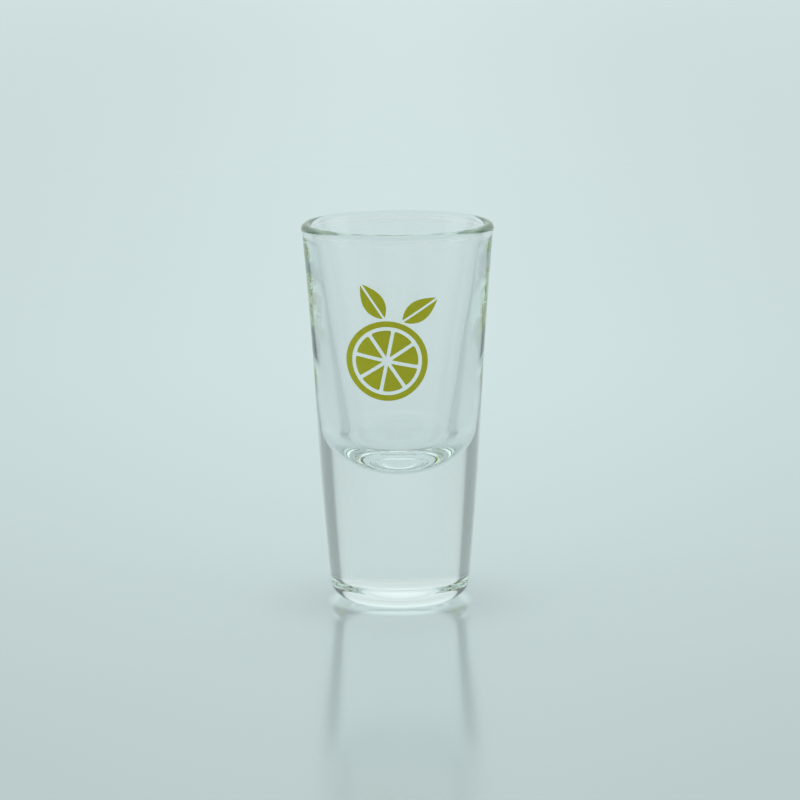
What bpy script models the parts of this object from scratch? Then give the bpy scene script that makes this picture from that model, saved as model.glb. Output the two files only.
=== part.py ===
"""A tall tapered shot glass with a thick solid base and a one-colour enamel print.

The glass is one pressed body, turned round Z: bowl, solid base, rounded heel, shallow
push-up under the base and a fire-polished rim. It stands on the flat ring between the
push-up and the heel, with the origin at the middle of that ring, on the table top.
The print is a slice of citrus fruit with two leaves, fired on to the wall that faces -Y.
Each patch of enamel that touches no other patch is an object of its own.

Units are metres, and +Z is up.
"""

import math

import bmesh
import bpy

MM = 0.001

# The outside of the glass.
HEIGHT = 99.2 * MM
RIM_RADIUS = 25.0 * MM
FOOT_RADIUS = 18.3 * MM  # of the wall where the rounded heel begins
WALL_SWAY = 0.22 * MM  # the wall swells this much low down and draws in as much above
RIM_LIP = 0.18 * MM  # the rounded rim stands this proud of the wall under it
HEEL_RADIUS = 5.2 * MM

# The underside.
RING_WIDTH = 0.6 * MM  # the flat ring that the glass stands on
PUSH_UP_RADIUS = FOOT_RADIUS - HEEL_RADIUS - RING_WIDTH
PUSH_UP_DEPTH = 3.2 * MM
PUSH_UP_POWER = 2.6  # above 2, the hollow is flatter in its middle than a dome

# The inside: a taper from the rim, then a rounded bowl.
RIM_THICKNESS = 2.9 * MM
RIM_WRAP = math.radians(-30)  # the angle at which the rim's bead gives way to the wall
RIM_BLEND = 3.5 * MM  # from the top of the rim to where the wall proper begins
BASE_THICKNESS = 34.5 * MM
BOWL_RADIUS = 13.4 * MM  # where the taper meets the rounded bottom
BOWL_DEPTH = 11.5 * MM  # of the rounded bottom alone

# The print. Its patches keep a small clearance to the wall that they follow.
ENAMEL_THICKNESS = 0.15 * MM
ENAMEL_CLEARANCE = 0.3 * MM
SKIN_MARGIN = 2.0 * MM  # how far the skin goes past the print, above and below
SLICE_RADIUS = 10.4 * MM
SLICE_ACROSS = -2.9 * MM  # the middle of the slice; below 0, it's left of the glass's axis
SLICE_DROP = 32.6 * MM  # the middle of the slice below the top of the rim
RIND_WIDTH = 1.5 * MM
PITH_WIDTH = 0.9 * MM  # bare glass between the rind and the segments
SEGMENTS = 8
SEGMENT_GAP = 0.9 * MM
SEGMENT_CORNER = 0.55 * MM
HUB_RADIUS = 1.2 * MM  # bare glass at the middle of the slice
SLICE_TURN = math.radians(11)
LEAF_LENGTH = 10.2 * MM
LEAF_WIDTH = 4.9 * MM
LEAF_RISE = 0.8 * MM  # bare glass between the rind and a leaf's tip
LEAF_FULLNESS = 0.9  # below 1, a leaf's sides are rounder
LEAF_SKEW = 0.85  # below 1, a leaf is widest nearer its foot
VEIN_WIDTH = 0.55 * MM
LEAF_BEARINGS = {"right": math.radians(68), "left": math.radians(94)}
LEAF_LEANS = {"right": math.radians(33), "left": math.radians(124)}

CUT_REACH = 1.1 * RIM_RADIUS  # how far in front of the axis the print's cutters stand

# How finely the curves are divided.
GLASS_STEPS = 64
ENAMEL_STEPS = 144
WALL_ROWS = 12
SKIN_ROWS = 12
BOWL_ROWS = 10
RIM_ROWS = 14  # a whole number of rows to the top and to the side of the bead
HEEL_ROWS = 7
PUSH_UP_ROWS = 5
OUTLINE_STEPS = 40


# --- Scene, collections and materials ---------------------------------------------------


def clear_scene():
    for old in list(bpy.data.objects):
        bpy.data.objects.remove(old, do_unlink=True)


def new_collection(name):
    collection = bpy.data.collections.new(name)
    bpy.context.scene.collection.children.link(collection)
    return collection


def new_material(name, colour, roughness, metallic=0.0, transmission=0.0):
    material = bpy.data.materials.new(name)
    material.use_nodes = True
    shader = material.node_tree.nodes["Principled BSDF"]
    shader.inputs["Base Color"].default_value = (*colour, 1.0)
    shader.inputs["Roughness"].default_value = roughness
    shader.inputs["Metallic"].default_value = metallic
    shader.inputs["Transmission Weight"].default_value = transmission
    return material


def new_object(name, data, collection, material=None):
    made = bpy.data.objects.new(name, data)
    collection.objects.link(made)
    if material:
        data.materials.append(material)
    return made


def hide_helper(helper):
    helper.hide_render = True
    helper.display_type = "WIRE"


# --- Turned profiles, as (radius, height) points ----------------------------------------


def arc(centre, radius, start, end, rows):
    """Points along a round corner, from one angle to the other."""
    angles = [start + (end - start) * step / rows for step in range(rows + 1)]
    return [
        (centre[0] + radius * math.cos(angle), centre[1] + radius * math.sin(angle))
        for angle in angles
    ]


def wall_radius(height):
    """The outside of the wall: a taper with a slight S in it."""
    rise = (height - HEEL_RADIUS) / (HEIGHT - RIM_THICKNESS / 2 - HEEL_RADIUS)
    taper = FOOT_RADIUS + (RIM_RADIUS - RIM_LIP - FOOT_RADIUS) * rise
    return taper + WALL_SWAY * math.sin(2 * math.pi * rise)


def bowl_points():
    """The rounded bottom of the inside, from its middle up to the taper."""
    angles = [math.pi / 2 * step / BOWL_ROWS for step in range(BOWL_ROWS + 1)]
    return [
        (
            BOWL_RADIUS * math.sin(angle),
            BASE_THICKNESS + BOWL_DEPTH * (1 - math.cos(angle)),
        )
        for angle in angles
    ]


def rim_points():
    """The rim's bead, from the inside over the top to where the outer wall begins."""
    bead = RIM_THICKNESS / 2
    centre = (RIM_RADIUS - bead, HEIGHT - bead)
    return arc(centre, bead, math.pi, RIM_WRAP, RIM_ROWS)


def wall_points():
    """The outer wall from under the rim's bead to the heel."""
    top = HEIGHT - RIM_BLEND
    heights = [top + (HEEL_RADIUS - top) * row / WALL_ROWS for row in range(WALL_ROWS)]
    return [(wall_radius(height), height) for height in heights]


def heel_points():
    centre = (FOOT_RADIUS - HEEL_RADIUS, HEEL_RADIUS)
    return arc(centre, HEEL_RADIUS, 0.0, -math.pi / 2, HEEL_ROWS)


def push_up_points():
    """The hollow under the base, from the flat ring up to its middle."""
    shares = [1 - row / PUSH_UP_ROWS for row in range(PUSH_UP_ROWS + 1)]
    return [
        (PUSH_UP_RADIUS * share, PUSH_UP_DEPTH * (1 - share**PUSH_UP_POWER)) for share in shares
    ]


def turned(name, profile, steps, collection, material=None):
    """A solid of revolution round Z. The profile runs down its outer side."""
    mesh = bpy.data.meshes.new(name)
    points = [(radius, 0.0, height) for radius, height in profile]
    edges = [(first, first + 1) for first in range(len(points) - 1)]
    mesh.from_pydata(points, edges, [])
    made = new_object(name, mesh, collection, material)
    screw = made.modifiers.new("Turn", "SCREW")
    screw.axis = "Z"
    screw.steps = steps
    screw.render_steps = steps
    screw.use_merge_vertices = True
    screw.merge_threshold = 1e-5
    screw.use_smooth_shade = True
    return made


def make_glass_body(collection, material):
    profile = bowl_points() + rim_points() + wall_points() + heel_points()
    return turned(
        "glass_body", profile + push_up_points(), GLASS_STEPS, collection, material
    )


# --- Flat outlines of the print, as (across, up) points ---------------------------------


def circle_outline(radius):
    turns = [2 * math.pi * step / OUTLINE_STEPS for step in range(OUTLINE_STEPS)]
    return [(radius * math.cos(turn), radius * math.sin(turn)) for turn in turns]


def rounded(corners, radius, rows=4):
    """The polygon with each corner replaced by a smooth curve that starts radius away."""
    outline = []
    for index, corner in enumerate(corners):
        ends = []
        for neighbour in (corners[index - 1], corners[(index + 1) % len(corners)]):
            reach = math.dist(corner, neighbour)
            share = min(radius, reach / 2) / reach
            ends.append([c + (n - c) * share for c, n in zip(corner, neighbour)])
        for row in range(rows + 1):
            t = row / rows
            outline.append(
                tuple(
                    (1 - t) ** 2 * start + 2 * t * (1 - t) * middle + t**2 * end
                    for start, middle, end in zip(ends[0], corner, ends[1])
                )
            )
    return outline


def segment_outline(index):
    """One segment of the slice: a wedge with a straight gap to each neighbour."""
    middle = SLICE_TURN + 2 * math.pi * index / SEGMENTS
    half = math.pi / SEGMENTS
    outer = SLICE_RADIUS - RIND_WIDTH - PITH_WIDTH
    inset = SEGMENT_GAP / 2
    inner = max(HUB_RADIUS, inset / math.sin(half))
    outer_half = half - math.asin(inset / outer)
    inner_half = max(half - math.asin(inset / inner), 0.0)
    corners = [
        (outer * math.cos(middle + turn), outer * math.sin(middle + turn))
        for turn in (-outer_half, -outer_half / 2, 0.0, outer_half / 2, outer_half)
    ]
    corners += [
        (inner * math.cos(middle + turn), inner * math.sin(middle + turn))
        for turn in (inner_half, -inner_half)
    ]
    return rounded(corners, SEGMENT_CORNER)


def leaf_half_outline(side, upper):
    """Half of a leaf, on one side of its bare middle vein."""
    bearing, lean = LEAF_BEARINGS[side], LEAF_LEANS[side]
    start = SLICE_RADIUS + LEAF_RISE
    root = (start * math.cos(bearing), start * math.sin(bearing))
    sign = 1 if upper else -1
    vein = VEIN_WIDTH / 2
    local = [(LEAF_LENGTH, sign * vein), (0.0, sign * vein)]
    for step in range(1, OUTLINE_STEPS // 2):
        along = step / (OUTLINE_STEPS // 2)
        bulge = math.sin(math.pi * along**LEAF_SKEW) ** LEAF_FULLNESS
        local.append((LEAF_LENGTH * along, sign * (vein + LEAF_WIDTH / 2 * bulge)))
    return [
        (
            root[0] + x * math.cos(lean) - y * math.sin(lean),
            root[1] + x * math.sin(lean) + y * math.cos(lean),
        )
        for x, y in local
    ]


# --- Enamel patches, cut from a thin skin that follows the wall -------------------------


def print_middle():
    """The height of the middle of the slice above the table."""
    return HEIGHT - SLICE_DROP


def make_skin(collection):
    """The thin skin outside the wall that every patch of the print is cut from."""
    near = ENAMEL_CLEARANCE
    far = ENAMEL_CLEARANCE + ENAMEL_THICKNESS
    low = print_middle() - SLICE_RADIUS - SKIN_MARGIN
    high = print_middle() + SLICE_RADIUS + LEAF_RISE + LEAF_LENGTH + SKIN_MARGIN
    heights = [high + (low - high) * row / SKIN_ROWS for row in range(SKIN_ROWS + 1)]
    outer = [(wall_radius(height) + far, height) for height in heights]
    inner = [(wall_radius(height) + near, height) for height in reversed(heights)]
    skin = turned("enamel_skin", [*outer, *inner, outer[0]], ENAMEL_STEPS, collection)
    hide_helper(skin)
    return skin


def flat_prism(name, outlines):
    """A mesh through the front wall, extruded along Y from flat outlines."""
    curve = bpy.data.curves.new(name, "CURVE")
    curve.dimensions = "2D"
    curve.fill_mode = "BOTH"
    curve.extrude = CUT_REACH / 2
    for outline in outlines:
        spline = curve.splines.new("POLY")
        spline.points.add(len(outline) - 1)
        for point, (across, up) in zip(spline.points, outline):
            point.co = (SLICE_ACROSS + across, print_middle() + up, 0.0, 1.0)
        spline.use_cyclic_u = True
    drawn = bpy.data.objects.new(name, curve)
    bpy.context.scene.collection.objects.link(drawn)
    graph = bpy.context.evaluated_depsgraph_get()
    mesh = bpy.data.meshes.new_from_object(drawn.evaluated_get(graph))
    bpy.data.objects.remove(drawn, do_unlink=True)
    bpy.data.curves.remove(curve)
    cage = bmesh.new()
    cage.from_mesh(mesh)
    bmesh.ops.remove_doubles(cage, verts=cage.verts, dist=1e-6)
    bmesh.ops.recalc_face_normals(cage, faces=cage.faces)
    cage.to_mesh(mesh)
    cage.free()
    return mesh


def make_patch(name, outlines, skin, collection, material):
    """One patch of enamel: the part of the skin that lies behind its outline."""
    patch = new_object(name, flat_prism(name, outlines), collection, material)
    patch.location.y = -CUT_REACH
    patch.rotation_euler.x = math.pi / 2
    cut = patch.modifiers.new("Follow wall", "BOOLEAN")
    cut.operation = "INTERSECT"
    cut.object = skin
    return patch


def make_print(collection, helpers, material):
    skin = make_skin(helpers)
    rind = [circle_outline(SLICE_RADIUS), circle_outline(SLICE_RADIUS - RIND_WIDTH)]
    make_patch("print_rind", rind, skin, collection, material)
    for index in range(SEGMENTS):
        name = f"print_segment_{index + 1}"
        make_patch(name, [segment_outline(index)], skin, collection, material)
    for side in LEAF_BEARINGS:
        for half, upper in (("upper", True), ("lower", False)):
            name = f"print_leaf_{side}_{half}"
            outline = leaf_half_outline(side, upper)
            make_patch(name, [outline], skin, collection, material)


def main():
    clear_scene()
    parts = new_collection("shot_glass")
    helpers = new_collection("shot_glass_helpers")
    glass = new_material("clear_glass", (0.93, 0.97, 0.95), 0.02, transmission=1.0)
    enamel = new_material("mustard_enamel", (0.37, 0.34, 0.01), 0.35)
    make_glass_body(parts, glass)
    make_print(parts, helpers, enamel)


main()
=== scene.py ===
"""The looks of the shot glass: a clear pressed glass with a fired-on citrus print.

The glass and the print are built again here, finer than the CAD solids, from the same
sizes. The set is a pale glossy table top under soft studio light.
Units are metres, and +Z is up. The print faces -Y, towards the camera.
"""

import math

import bmesh
import bpy
from mathutils import Matrix, Vector


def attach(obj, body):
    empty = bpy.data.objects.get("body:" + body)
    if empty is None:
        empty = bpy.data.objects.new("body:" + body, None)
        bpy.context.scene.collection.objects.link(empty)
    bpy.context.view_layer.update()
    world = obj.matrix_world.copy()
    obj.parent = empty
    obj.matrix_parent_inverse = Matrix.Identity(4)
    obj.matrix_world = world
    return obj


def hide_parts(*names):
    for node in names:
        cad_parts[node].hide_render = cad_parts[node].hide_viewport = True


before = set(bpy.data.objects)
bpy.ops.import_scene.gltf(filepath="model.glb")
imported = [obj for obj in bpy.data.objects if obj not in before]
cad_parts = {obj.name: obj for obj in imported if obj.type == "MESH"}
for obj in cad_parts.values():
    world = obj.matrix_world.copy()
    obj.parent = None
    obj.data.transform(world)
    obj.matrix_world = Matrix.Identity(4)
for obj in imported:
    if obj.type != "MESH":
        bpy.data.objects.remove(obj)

MM = 0.001


def write_size():
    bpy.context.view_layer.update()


write_size()

# --- Sizes, the same as the CAD part's ---------------------------------------------------

HEIGHT = 99.2 * MM
RIM_RADIUS = 25.0 * MM
FOOT_RADIUS = 18.3 * MM  # of the wall where the rounded heel begins
WALL_SWAY = 0.22 * MM  # the wall swells this much low down and draws in as much above
RIM_LIP = 0.18 * MM  # the rounded rim stands this proud of the wall under it
HEEL_RADIUS = 5.2 * MM
RING_WIDTH = 0.6 * MM  # the flat ring that the glass stands on
PUSH_UP_RADIUS = FOOT_RADIUS - HEEL_RADIUS - RING_WIDTH
PUSH_UP_DEPTH = 3.2 * MM
PUSH_UP_POWER = 2.6  # above 2, the hollow is flatter in its middle than a dome
RIM_THICKNESS = 2.9 * MM
RIM_WRAP = math.radians(-30)  # the angle at which the rim's bead gives way to the wall
RIM_BLEND = 3.5 * MM  # from the top of the rim to where the wall proper begins
BASE_THICKNESS = 34.5 * MM
BOWL_RADIUS = 13.4 * MM  # where the taper meets the rounded bottom
BOWL_DEPTH = 11.5 * MM  # of the rounded bottom alone

SLICE_RADIUS = 10.4 * MM
SLICE_ACROSS = -2.9 * MM  # the middle of the slice; below 0, it's left of the glass's axis
SLICE_UP = 66.6 * MM
RIND_WIDTH = 1.5 * MM
PITH_WIDTH = 0.9 * MM
SEGMENTS = 8
SEGMENT_GAP = 0.9 * MM
SEGMENT_CORNER = 0.55 * MM
HUB_RADIUS = 1.2 * MM
SLICE_TURN = math.radians(11)
LEAF_LENGTH = 10.2 * MM
LEAF_WIDTH = 4.9 * MM
LEAF_RISE = 0.8 * MM
LEAF_FULLNESS = 0.9  # below 1, a leaf's sides are rounder
LEAF_SKEW = 0.85  # below 1, a leaf is widest nearer its foot
VEIN_WIDTH = 0.55 * MM
LEAF_BEARINGS = {"right": math.radians(68), "left": math.radians(94)}
LEAF_LEANS = {"right": math.radians(33), "left": math.radians(124)}

# The enamel is fused into the surface of the wall, so it starts a little inside it.
ENAMEL_SUNK = 0.015 * MM
ENAMEL_PROUD = 0.025 * MM
SKIN_DROP = 1.5 * SLICE_RADIUS  # how far the skin goes below the middle of the slice
CUT_REACH = 1.1 * RIM_RADIUS  # how far in front of the axis the print's cutters stand
CUT_DEPTH = RIM_RADIUS
SHARP_EDGE = math.radians(40)

# The plunger leaves the inner wall slightly uneven: (share, waves round, twist, phase).
RIPPLE_HEIGHT = 0.02 * MM
RIPPLES = ((1.0, 3, 11, 0.0), (0.6, 5, -17, 1.3))

# How finely the curves are divided.
GLASS_STEPS = 256
SKIN_STEPS = 360
WALL_ROWS = 60
BOWL_ROWS = 36
RIM_ROWS = 30
HEEL_ROWS = 24
PUSH_UP_ROWS = 16
OUTLINE_STEPS = 96

# The camera, about a metre from the glass.
CAMERA_PLACE = Vector((0.0, -0.990, 0.235))
CAMERA_PITCH = math.radians(-10.45)
CAMERA_ROLL = math.radians(-0.43)
CAMERA_YAW = math.radians(0.019)
CAMERA_LENS = 173.5
SENSOR_WIDTH = 36.0
LIGHT_BOUNCES = 64  # light runs round inside the rim many times before it leaves


# --- Small helpers -----------------------------------------------------------------------


def new_object(name, mesh, material=None):
    made = bpy.data.objects.new(name, mesh)
    bpy.context.scene.collection.objects.link(made)
    if material:
        mesh.materials.append(material)
    return made


class Shader:
    """Builds a node tree: each call adds a node and joins or sets its inputs."""

    def __init__(self, tree):
        self.tree = tree
        tree.nodes.clear()

    def add(self, kind, inputs=None, **settings):
        node = self.tree.nodes.new(kind)
        for key, value in settings.items():
            setattr(node, key, value)
        for key, value in (inputs or {}).items():
            if isinstance(value, bpy.types.NodeSocket):
                self.tree.links.new(value, node.inputs[key])
            else:
                node.inputs[key].default_value = value
        return node

    def math(self, operation, first, second=0.0, third=0.0):
        values = {0: first, 1: second, 2: third}
        return self.add("ShaderNodeMath", values, operation=operation).outputs[0]

    def ramp(self, value, low, high, out_low, out_high, smooth=True):
        inputs = {
            "Value": value,
            "From Min": low,
            "From Max": high,
            "To Min": out_low,
            "To Max": out_high,
        }
        kind = "SMOOTHSTEP" if smooth else "LINEAR"
        node = self.add("ShaderNodeMapRange", inputs, interpolation_type=kind)
        return node.outputs["Result"]

    def noise(self, position, scale, detail=2.0):
        inputs = {"Vector": position, "Scale": scale, "Detail": detail}
        return self.add("ShaderNodeTexNoise", inputs).outputs["Fac"]


def new_material(name):
    material = bpy.data.materials.new(name)
    material.use_nodes = True
    return material, Shader(material.node_tree)


# --- Turned shapes, as (radius, height) profiles -----------------------------------------


def arc(centre, radius, start, end, rows):
    """Points along a round corner, from one angle to the other."""
    angles = [start + (end - start) * step / rows for step in range(rows + 1)]
    return [
        (centre[0] + radius * math.cos(angle), centre[1] + radius * math.sin(angle))
        for angle in angles
    ]


def wall_radius(height):
    """The outside of the wall: a taper with a slight S in it."""
    rise = (height - HEEL_RADIUS) / (HEIGHT - RIM_THICKNESS / 2 - HEEL_RADIUS)
    taper = FOOT_RADIUS + (RIM_RADIUS - RIM_LIP - FOOT_RADIUS) * rise
    return taper + WALL_SWAY * math.sin(2 * math.pi * rise)


def glass_profile():
    """From the bottom of the bowl, over the rim and down the wall to under the base."""
    profile = []
    for step in range(BOWL_ROWS + 1):
        angle = math.pi / 2 * step / BOWL_ROWS
        drop = BOWL_DEPTH * (1 - math.cos(angle))
        profile.append((BOWL_RADIUS * math.sin(angle), BASE_THICKNESS + drop))
    bead = RIM_THICKNESS / 2
    low = profile[-1]
    high = (RIM_RADIUS - RIM_THICKNESS, HEIGHT - bead)
    for row in range(1, WALL_ROWS):
        share = row / WALL_ROWS
        profile.append(tuple(a + (b - a) * share for a, b in zip(low, high)))
    centre = (RIM_RADIUS - bead, HEIGHT - bead)
    profile += arc(centre, bead, math.pi, RIM_WRAP, RIM_ROWS)
    top = HEIGHT - RIM_BLEND
    for row in range(WALL_ROWS):
        height = top + (HEEL_RADIUS - top) * row / WALL_ROWS
        profile.append((wall_radius(height), height))
    centre = (FOOT_RADIUS - HEEL_RADIUS, HEEL_RADIUS)
    profile += arc(centre, HEEL_RADIUS, 0.0, -math.pi / 2, HEEL_ROWS)
    for row in range(PUSH_UP_ROWS + 1):
        share = 1 - row / PUSH_UP_ROWS
        profile.append((PUSH_UP_RADIUS * share, PUSH_UP_DEPTH * (1 - share**PUSH_UP_POWER)))
    return profile


def turned(name, profile, steps, closed=False, shift=None):
    """A mesh of revolution round Z. A profile that isn't closed starts and ends on it."""
    cage = bmesh.new()
    rings = []
    for radius, height in profile:
        if radius < 1e-9:
            rings.append([cage.verts.new((0.0, 0.0, height))] * steps)
            continue
        ring = []
        for step in range(steps):
            turn = 2 * math.pi * step / steps
            away = radius + (shift(radius, height, turn) if shift else 0.0)
            ring.append(
                cage.verts.new((away * math.cos(turn), away * math.sin(turn), height))
            )
        rings.append(ring)
    pairs = list(zip(rings, rings[1:]))
    if closed:
        pairs.append((rings[-1], rings[0]))
    for upper, lower in pairs:
        for step in range(steps):
            after = (step + 1) % steps
            corners = [upper[step], upper[after], lower[after], lower[step]]
            distinct = list(dict.fromkeys(corners))
            cage.faces.new(distinct)
    bmesh.ops.recalc_face_normals(cage, faces=cage.faces)
    mesh = bpy.data.meshes.new(name)
    cage.to_mesh(mesh)
    cage.free()
    mesh.shade_smooth()
    return mesh


def press_ripple(radius, height, turn):
    """The slight unevenness of the plunger's side: the bowl wall is never quite round."""
    foot = BASE_THICKNESS + BOWL_DEPTH
    inside = height > foot and radius < wall_radius(height) - MM
    if not inside:
        return 0.0
    up = (height - foot) / (HEIGHT - foot)
    fade = math.sin(math.pi * min(max(up, 0.0), 1.0))
    wave = sum(
        share * math.sin(waves * turn + twist * up + phase)
        for share, waves, twist, phase in RIPPLES
    )
    return RIPPLE_HEIGHT * fade * wave


# --- Materials ---------------------------------------------------------------------------


GLASS_IOR = 1.52
GLASS_TINT = (0.80, 0.94, 0.88, 1.0)
GLASS_DENSITY = 4.0
GLASS_SWELL = 90.0  # waves to the metre in the skin of the glass
ENAMEL_DEEP = (0.76, 0.72, 0.008, 1.0)
ENAMEL_BRIGHT = (0.86, 0.81, 0.014, 1.0)
ENAMEL_CLOUD = 420.0
ENAMEL_GRAIN = 5200.0
ENAMEL_GRAIN_SHARE = 0.35
ENAMEL_CONTRAST = (0.3, 0.7)  # the noise values between which tint and gloss change
ENAMEL_ROUGHNESS = (0.30, 0.42)


def glass_material():
    """Clear soda-lime glass: faintly green in depth, with a fire-polished skin."""
    material, s = new_material("clear_glass")
    place = s.add("ShaderNodeTexCoord").outputs["Object"]
    swell = s.noise(place, GLASS_SWELL, 1.0)
    bump = s.add("ShaderNodeBump", {"Height": swell, "Strength": 0.05, "Distance": 0.4 * MM})
    shader = s.add(
        "ShaderNodeBsdfPrincipled",
        {
            "Base Color": (1.0, 1.0, 1.0, 1.0),
            "Roughness": 0.0,
            "IOR": GLASS_IOR,
            "Transmission Weight": 1.0,
            "Normal": bump.outputs["Normal"],
        },
    )
    depth = s.add("ShaderNodeVolumeAbsorption", {"Color": GLASS_TINT, "Density": GLASS_DENSITY})
    inputs = {"Surface": shader.outputs[0], "Volume": depth.outputs[0]}
    s.add("ShaderNodeOutputMaterial", inputs)
    return material


def enamel_material():
    """Fired enamel: an even mustard with a satin skin and fine screen-print grain."""
    material, s = new_material("mustard_enamel")
    place = s.add("ShaderNodeTexCoord").outputs["Object"]
    cloud = s.noise(place, ENAMEL_CLOUD, 3.0)
    grain = s.noise(place, ENAMEL_GRAIN, 2.0)
    smooth = s.math("MULTIPLY", cloud, 1.0 - ENAMEL_GRAIN_SHARE)
    mixed = s.math("MULTIPLY_ADD", grain, ENAMEL_GRAIN_SHARE, smooth)
    tint = s.add("ShaderNodeValToRGB", {"Fac": mixed})
    stops = zip(tint.color_ramp.elements, ENAMEL_CONTRAST, (ENAMEL_DEEP, ENAMEL_BRIGHT))
    for stop, position, colour in stops:
        stop.position = position
        stop.color = colour
    bump = s.add("ShaderNodeBump", {"Height": mixed, "Strength": 0.25, "Distance": 0.02 * MM})
    shader = s.add(
        "ShaderNodeBsdfPrincipled",
        {
            "Base Color": tint.outputs["Color"],
            "Roughness": s.ramp(cloud, *ENAMEL_CONTRAST, *ENAMEL_ROUGHNESS),
            "IOR": 1.5,
            "Normal": bump.outputs["Normal"],
        },
    )
    s.add("ShaderNodeOutputMaterial", {"Surface": shader.outputs[0]})
    return material


# --- The print ---------------------------------------------------------------------------


def circle_outline(radius):
    turns = [2 * math.pi * step / OUTLINE_STEPS for step in range(OUTLINE_STEPS)]
    return [(radius * math.cos(turn), radius * math.sin(turn)) for turn in turns]


def rounded(corners, radius, rows=8):
    """The polygon with each corner replaced by a smooth curve that starts radius away."""
    outline = []
    for index, corner in enumerate(corners):
        ends = []
        for neighbour in (corners[index - 1], corners[(index + 1) % len(corners)]):
            reach = math.dist(corner, neighbour)
            share = min(radius, reach / 2) / reach
            ends.append([c + (n - c) * share for c, n in zip(corner, neighbour)])
        for row in range(rows + 1):
            t = row / rows
            outline.append(
                tuple(
                    (1 - t) ** 2 * start + 2 * t * (1 - t) * middle + t**2 * end
                    for start, middle, end in zip(ends[0], corner, ends[1])
                )
            )
    return outline


def segment_outline(index):
    """One segment of the slice: a wedge with a straight gap to each neighbour."""
    middle = SLICE_TURN + 2 * math.pi * index / SEGMENTS
    half = math.pi / SEGMENTS
    outer = SLICE_RADIUS - RIND_WIDTH - PITH_WIDTH
    inset = SEGMENT_GAP / 2
    inner = max(HUB_RADIUS, inset / math.sin(half))
    outer_half = half - math.asin(inset / outer)
    inner_half = max(half - math.asin(inset / inner), 0.0)
    corners = [
        (outer * math.cos(middle + turn), outer * math.sin(middle + turn))
        for turn in (-outer_half, -outer_half / 2, 0.0, outer_half / 2, outer_half)
    ]
    corners += [
        (inner * math.cos(middle + turn), inner * math.sin(middle + turn))
        for turn in (inner_half, -inner_half)
    ]
    return rounded(corners, SEGMENT_CORNER)


def leaf_half_outline(side, upper):
    """Half of a leaf, on one side of its bare middle vein."""
    bearing, lean = LEAF_BEARINGS[side], LEAF_LEANS[side]
    start = SLICE_RADIUS + LEAF_RISE
    root = (start * math.cos(bearing), start * math.sin(bearing))
    sign = 1 if upper else -1
    vein = VEIN_WIDTH / 2
    local = [(LEAF_LENGTH, sign * vein), (0.0, sign * vein)]
    for step in range(1, OUTLINE_STEPS // 2):
        along = step / (OUTLINE_STEPS // 2)
        bulge = math.sin(math.pi * along**LEAF_SKEW) ** LEAF_FULLNESS
        local.append((LEAF_LENGTH * along, sign * (vein + LEAF_WIDTH / 2 * bulge)))
    return [
        (
            root[0] + x * math.cos(lean) - y * math.sin(lean),
            root[1] + x * math.sin(lean) + y * math.cos(lean),
        )
        for x, y in local
    ]


def make_skin():
    """A thin skin through the surface of the wall, which the patches are cut from."""
    low = SLICE_UP - SKIN_DROP
    high = HEIGHT - RIM_BLEND
    heights = [high + (low - high) * row / WALL_ROWS for row in range(WALL_ROWS + 1)]
    outer = [(wall_radius(height) + ENAMEL_PROUD, height) for height in heights]
    inner = [(wall_radius(height) - ENAMEL_SUNK, height) for height in reversed(heights)]
    skin = new_object("enamel_skin", turned("enamel_skin", outer + inner, SKIN_STEPS, True))
    skin.hide_render = True
    return skin


def flat_prism(name, outlines):
    """A mesh through the front wall, extruded along Y from flat outlines."""
    curve = bpy.data.curves.new(name, "CURVE")
    curve.dimensions = "2D"
    curve.fill_mode = "BOTH"
    curve.extrude = CUT_DEPTH / 2
    for outline in outlines:
        spline = curve.splines.new("POLY")
        spline.points.add(len(outline) - 1)
        for point, (across, up) in zip(spline.points, outline):
            point.co = (SLICE_ACROSS + across, SLICE_UP + up, 0.0, 1.0)
        spline.use_cyclic_u = True
    drawn = bpy.data.objects.new(name, curve)
    bpy.context.scene.collection.objects.link(drawn)
    graph = bpy.context.evaluated_depsgraph_get()
    mesh = bpy.data.meshes.new_from_object(drawn.evaluated_get(graph))
    bpy.data.objects.remove(drawn, do_unlink=True)
    bpy.data.curves.remove(curve)
    cage = bmesh.new()
    cage.from_mesh(mesh)
    bmesh.ops.remove_doubles(cage, verts=cage.verts, dist=1e-6)
    bmesh.ops.recalc_face_normals(cage, faces=cage.faces)
    cage.to_mesh(mesh)
    cage.free()
    upright = Matrix.Rotation(math.pi / 2, 4, "X")
    mesh.transform(Matrix.Translation((0.0, -CUT_REACH, 0.0)) @ upright)
    return mesh


def make_patch(node, outlines, skin, material):
    """One patch of enamel, applied as a mesh, in place of its CAD node."""
    name = node.replace("print_", "enamel_")
    cutter = new_object(name, flat_prism(name, outlines))
    cut = cutter.modifiers.new("Follow wall", "BOOLEAN")
    cut.operation = "INTERSECT"
    cut.object = skin
    graph = bpy.context.evaluated_depsgraph_get()
    mesh = bpy.data.meshes.new_from_object(cutter.evaluated_get(graph))
    bpy.data.objects.remove(cutter, do_unlink=True)
    mesh.name = name
    mesh.materials.clear()
    mesh.shade_smooth()
    mesh.set_sharp_from_angle(angle=SHARP_EDGE)
    patch = new_object(name, mesh, material)
    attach(patch, "root")
    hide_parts(node)


def make_print(material):
    skin = make_skin()
    rind = [circle_outline(SLICE_RADIUS), circle_outline(SLICE_RADIUS - RIND_WIDTH)]
    make_patch("print_rind", rind, skin, material)
    for index in range(SEGMENTS):
        make_patch(f"print_segment_{index + 1}", [segment_outline(index)], skin, material)
    for side in LEAF_BEARINGS:
        for half, upper in (("upper", True), ("lower", False)):
            outline = leaf_half_outline(side, upper)
            make_patch(f"print_leaf_{side}_{half}", [outline], skin, material)
    bpy.data.objects.remove(skin, do_unlink=True)


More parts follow.
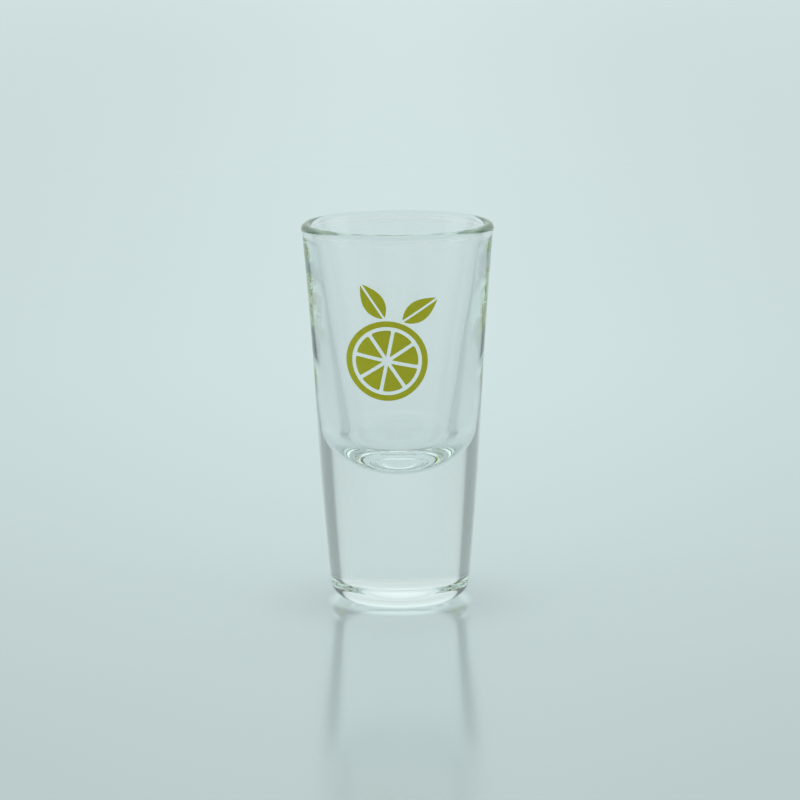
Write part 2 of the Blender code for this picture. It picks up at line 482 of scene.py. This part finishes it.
def make_glass(material):
    mesh = turned("glass", glass_profile(), GLASS_STEPS, shift=press_ripple)
    glass = new_object("glass", mesh, material)
    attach(glass, "root")
    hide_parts("glass_body")


# --- The set: table top, studio light and camera ------------------------------------------

# The studio's brightness, by direction.
BEHIND_EDGES = (0.70, 0.78)  # cosines of bearings from +Y, between which the back gives way
RISE_TOP = 0.75  # the sine of the height at which back and sides are brightest
BACK_LEVEL = 0.76  # at the level of the table
BACK_GAIN = 0.30  # what is added higher up
SIDE_LEVEL = 0.66
SIDE_GAIN = 0.20
FLAG_START = (0.695, 0.755)  # sines of bearings from +Y, between which a flag begins
FLAG_END = (0.92, 0.985)
FLAG_FOOT = (0.08, 0.16)  # sines of heights: paler under this, where the table's edge is
FLAG_FOOT_SHARE = 0.55  # of a flag's darkness, under its foot
FLAG_TOP = (0.45, 0.70)
FLAG_LEVEL = 0.15  # of the studio's brightness, at the middle of a flag
ROOM_EDGES = (-0.80, -0.50)  # cosines of bearings, where the dark room ends
ROOM_TOP = (0.70, 0.95)  # sines of heights, where the room gives way to the ceiling
ROOM_LEVEL = 0.08
PALE = (0.868, 1.0, 1.0)  # the tint of the light

# The table top's painted light, in metres from the glass: a glow that stands in for the lamp's
# pool of light, the light the foot throws and the shade round it.
BOARD_TINT = (0.80, 0.99, 1.0)
BOARD_COLOUR = (0.325, 0.34, 0.34, 1.0)
BOARD_IOR = 1.45
BOARD_ROUGHNESS = 0.14
BOARD_LEVEL = 0.52  # at the middle line, behind the glass
BOARD_DEPTH = (-0.40, 0.42)  # along Y, between which the glow grows to its full level
BOARD_FRONT_SHARE = 0.55
BOARD_LIFT = (-0.80, -0.22)  # along Y, between which the front is lifted again
BOARD_LIFT_SHARE = 0.45
BOARD_SPREAD = 7.5  # how fast the glow falls to the sides, to the metre
BOARD_SIDE_SHARE = 0.76
FAR_SHARE = 0.97  # of the studio's brightness, far off, so that no horizon shows
FAR_BLEND = (1.4, 4.0)
POOL_PLACE = -3.4 * MM  # the light that the foot throws on the table, a little forward
POOL_EDGE = (15.8 * MM, 19.8 * MM)
POOL_LEVEL = 0.27
SHADE_REACH = (17.0 * MM, 44.0 * MM)  # the soft shade round it
SHADE_LEVEL = 0.16
TABLE_RADIUS = 40.0
TABLE_GAP = 0.1 * MM


def length(s, x, y):
    """The length of a flat vector, from two sockets."""
    return s.math("SQRT", s.math("MULTIPLY_ADD", x, x, s.math("MULTIPLY", y, y)))


def studio_light(s, direction):
    """Brightness of the studio towards a direction, by its bearing from +Y and its height.

    It is brightest behind the glass and overhead. Grey flags stand low between the
    back and each side, and the room on the camera's side is dark up to the ceiling.
    """
    x, y, z = s.add("ShaderNodeSeparateXYZ", {"Vector": direction}).outputs
    flat = s.math("MAXIMUM", length(s, x, y), 0.001)
    ahead = s.math("DIVIDE", y, flat)
    aside = s.math("ABSOLUTE", s.math("DIVIDE", x, flat))

    rising = s.ramp(z, 0.0, RISE_TOP, 0.0, 1.0)
    behind = s.ramp(ahead, *BEHIND_EDGES, 0.0, 1.0)
    back = s.math("MULTIPLY_ADD", rising, BACK_GAIN, BACK_LEVEL)
    side = s.math("MULTIPLY_ADD", rising, SIDE_GAIN, SIDE_LEVEL)
    level = s.math("MULTIPLY_ADD", behind, s.math("SUBTRACT", back, side), side)

    begun = s.ramp(aside, *FLAG_START, 0.0, 1.0)
    flagged = s.math("MULTIPLY", begun, s.ramp(aside, *FLAG_END, 1.0, 0.0))
    footed = s.ramp(z, *FLAG_FOOT, FLAG_FOOT_SHARE, 1.0)
    upright = s.math("MULTIPLY", footed, s.ramp(z, *FLAG_TOP, 1.0, 0.0))
    shade = s.math("MULTIPLY", s.math("MULTIPLY", flagged, upright), 1.0 - FLAG_LEVEL)
    level = s.math("MULTIPLY", level, s.math("SUBTRACT", 1.0, shade))

    below = s.ramp(z, *ROOM_TOP, 1.0, 0.0)
    facing = s.math("MULTIPLY", s.ramp(ahead, *ROOM_EDGES, 1.0, 0.0), below)
    dimmed = s.math("MULTIPLY", facing, 1.0 - ROOM_LEVEL)
    return s.math("MULTIPLY", level, s.math("SUBTRACT", 1.0, dimmed))


def make_world():
    world = bpy.data.worlds.new("studio")
    world.use_nodes = True
    s = Shader(world.node_tree)
    direction = s.add("ShaderNodeTexCoord").outputs["Generated"]
    light = s.add(
        "ShaderNodeBackground",
        {"Color": (*PALE, 1.0), "Strength": studio_light(s, direction)},
    )
    s.add("ShaderNodeOutputWorld", {"Surface": light.outputs[0]})
    bpy.context.scene.world = world


def board_painted_light(s, place):
    """How brightly the table top glows at a place: the painted pool of lamp light, with the
    painted light from the foot and the painted shade round it.
    """
    x, y, _ = s.add("ShaderNodeSeparateXYZ", {"Vector": place}).outputs
    # Painted pool of lamp light: full behind the glass, weaker in front and to the sides,
    # lifted again far in front.
    near = s.ramp(y, *BOARD_DEPTH, BOARD_FRONT_SHARE, 1.0)
    near = s.math("ADD", near, s.ramp(y, *BOARD_LIFT, BOARD_LIFT_SHARE, 0.0))
    across = s.math("MULTIPLY", x, BOARD_SPREAD)
    across = s.math("MULTIPLY", s.math("MULTIPLY", across, across), -1.0)
    across = s.math("EXPONENT", across)
    across = s.math("MULTIPLY_ADD", across, 1.0 - BOARD_SIDE_SHARE, BOARD_SIDE_SHARE)
    glow = s.math("MULTIPLY", s.math("MULTIPLY", near, across), BOARD_LEVEL)

    outward = s.add("ShaderNodeVectorMath", {0: place}, operation="NORMALIZE").outputs[0]
    far = s.math("MULTIPLY", studio_light(s, outward), FAR_SHARE)
    blend = s.ramp(length(s, x, y), *FAR_BLEND, 0.0, 1.0)
    glow = s.math("MULTIPLY_ADD", blend, s.math("SUBTRACT", far, glow), glow)

    # Painted shade round the foot, and the painted light that the foot throws forward on the
    # table.
    spread = length(s, x, s.math("SUBTRACT", y, POOL_PLACE))
    shade = s.ramp(spread, *SHADE_REACH, SHADE_LEVEL, 0.0)
    glow = s.math("MULTIPLY", glow, s.math("SUBTRACT", 1.0, shade))
    return s.math("ADD", glow, s.ramp(spread, *POOL_EDGE, POOL_LEVEL, 0.0))


def table_material():
    """Pale semi-gloss board. Its glow stands in for the lamp's pool of light on it."""
    material, s = new_material("table_top")
    place = s.add("ShaderNodeNewGeometry").outputs["Position"]
    light = {"Color": (*BOARD_TINT, 1.0), "Strength": board_painted_light(s, place)}
    emission = s.add("ShaderNodeEmission", light)
    board = s.add("ShaderNodeBsdfDiffuse", {"Color": BOARD_COLOUR})
    lit = s.add("ShaderNodeAddShader", {0: emission.outputs[0], 1: board.outputs[0]})
    gloss = {"Color": (1.0, 1.0, 1.0, 1.0), "Roughness": BOARD_ROUGHNESS}
    sheen = s.add("ShaderNodeBsdfGlossy", gloss)
    share = s.add("ShaderNodeFresnel", {"IOR": BOARD_IOR})
    layers = {0: share.outputs[0], 1: lit.outputs[0], 2: sheen.outputs[0]}
    mix = s.add("ShaderNodeMixShader", layers)
    s.add("ShaderNodeOutputMaterial", {"Surface": mix.outputs[0]})
    return material


def make_table():
    mesh = bpy.data.meshes.new("table_top")
    cage = bmesh.new()
    bmesh.ops.create_circle(cage, cap_ends=True, segments=96, radius=TABLE_RADIUS)
    cage.to_mesh(mesh)
    cage.free()
    table = new_object("table_top", mesh, table_material())
    table.location.z = -TABLE_GAP


def make_camera():
    data = bpy.data.cameras.new("camera")
    data.sensor_width = SENSOR_WIDTH
    data.lens = CAMERA_LENS
    data.clip_start = 0.01
    data.clip_end = 200.0
    camera = bpy.data.objects.new("camera", data)
    bpy.context.scene.collection.objects.link(camera)
    turn = Matrix.Rotation(-CAMERA_YAW, 4, "Z")
    tilt = Matrix.Rotation(math.pi / 2 + CAMERA_PITCH, 4, "X")
    roll = Matrix.Rotation(CAMERA_ROLL, 4, "Z")
    camera.matrix_world = Matrix.Translation(CAMERA_PLACE) @ turn @ tilt @ roll
    bpy.context.scene.camera = camera


def main():
    scene = bpy.context.scene
    scene.view_settings.view_transform = "Standard"
    scene.cycles.max_bounces = LIGHT_BOUNCES
    scene.cycles.transmission_bounces = LIGHT_BOUNCES
    scene.cycles.glossy_bounces = LIGHT_BOUNCES
    make_camera()
    make_glass(glass_material())
    make_print(enamel_material())
    make_table()
    make_world()


main()
write_size()
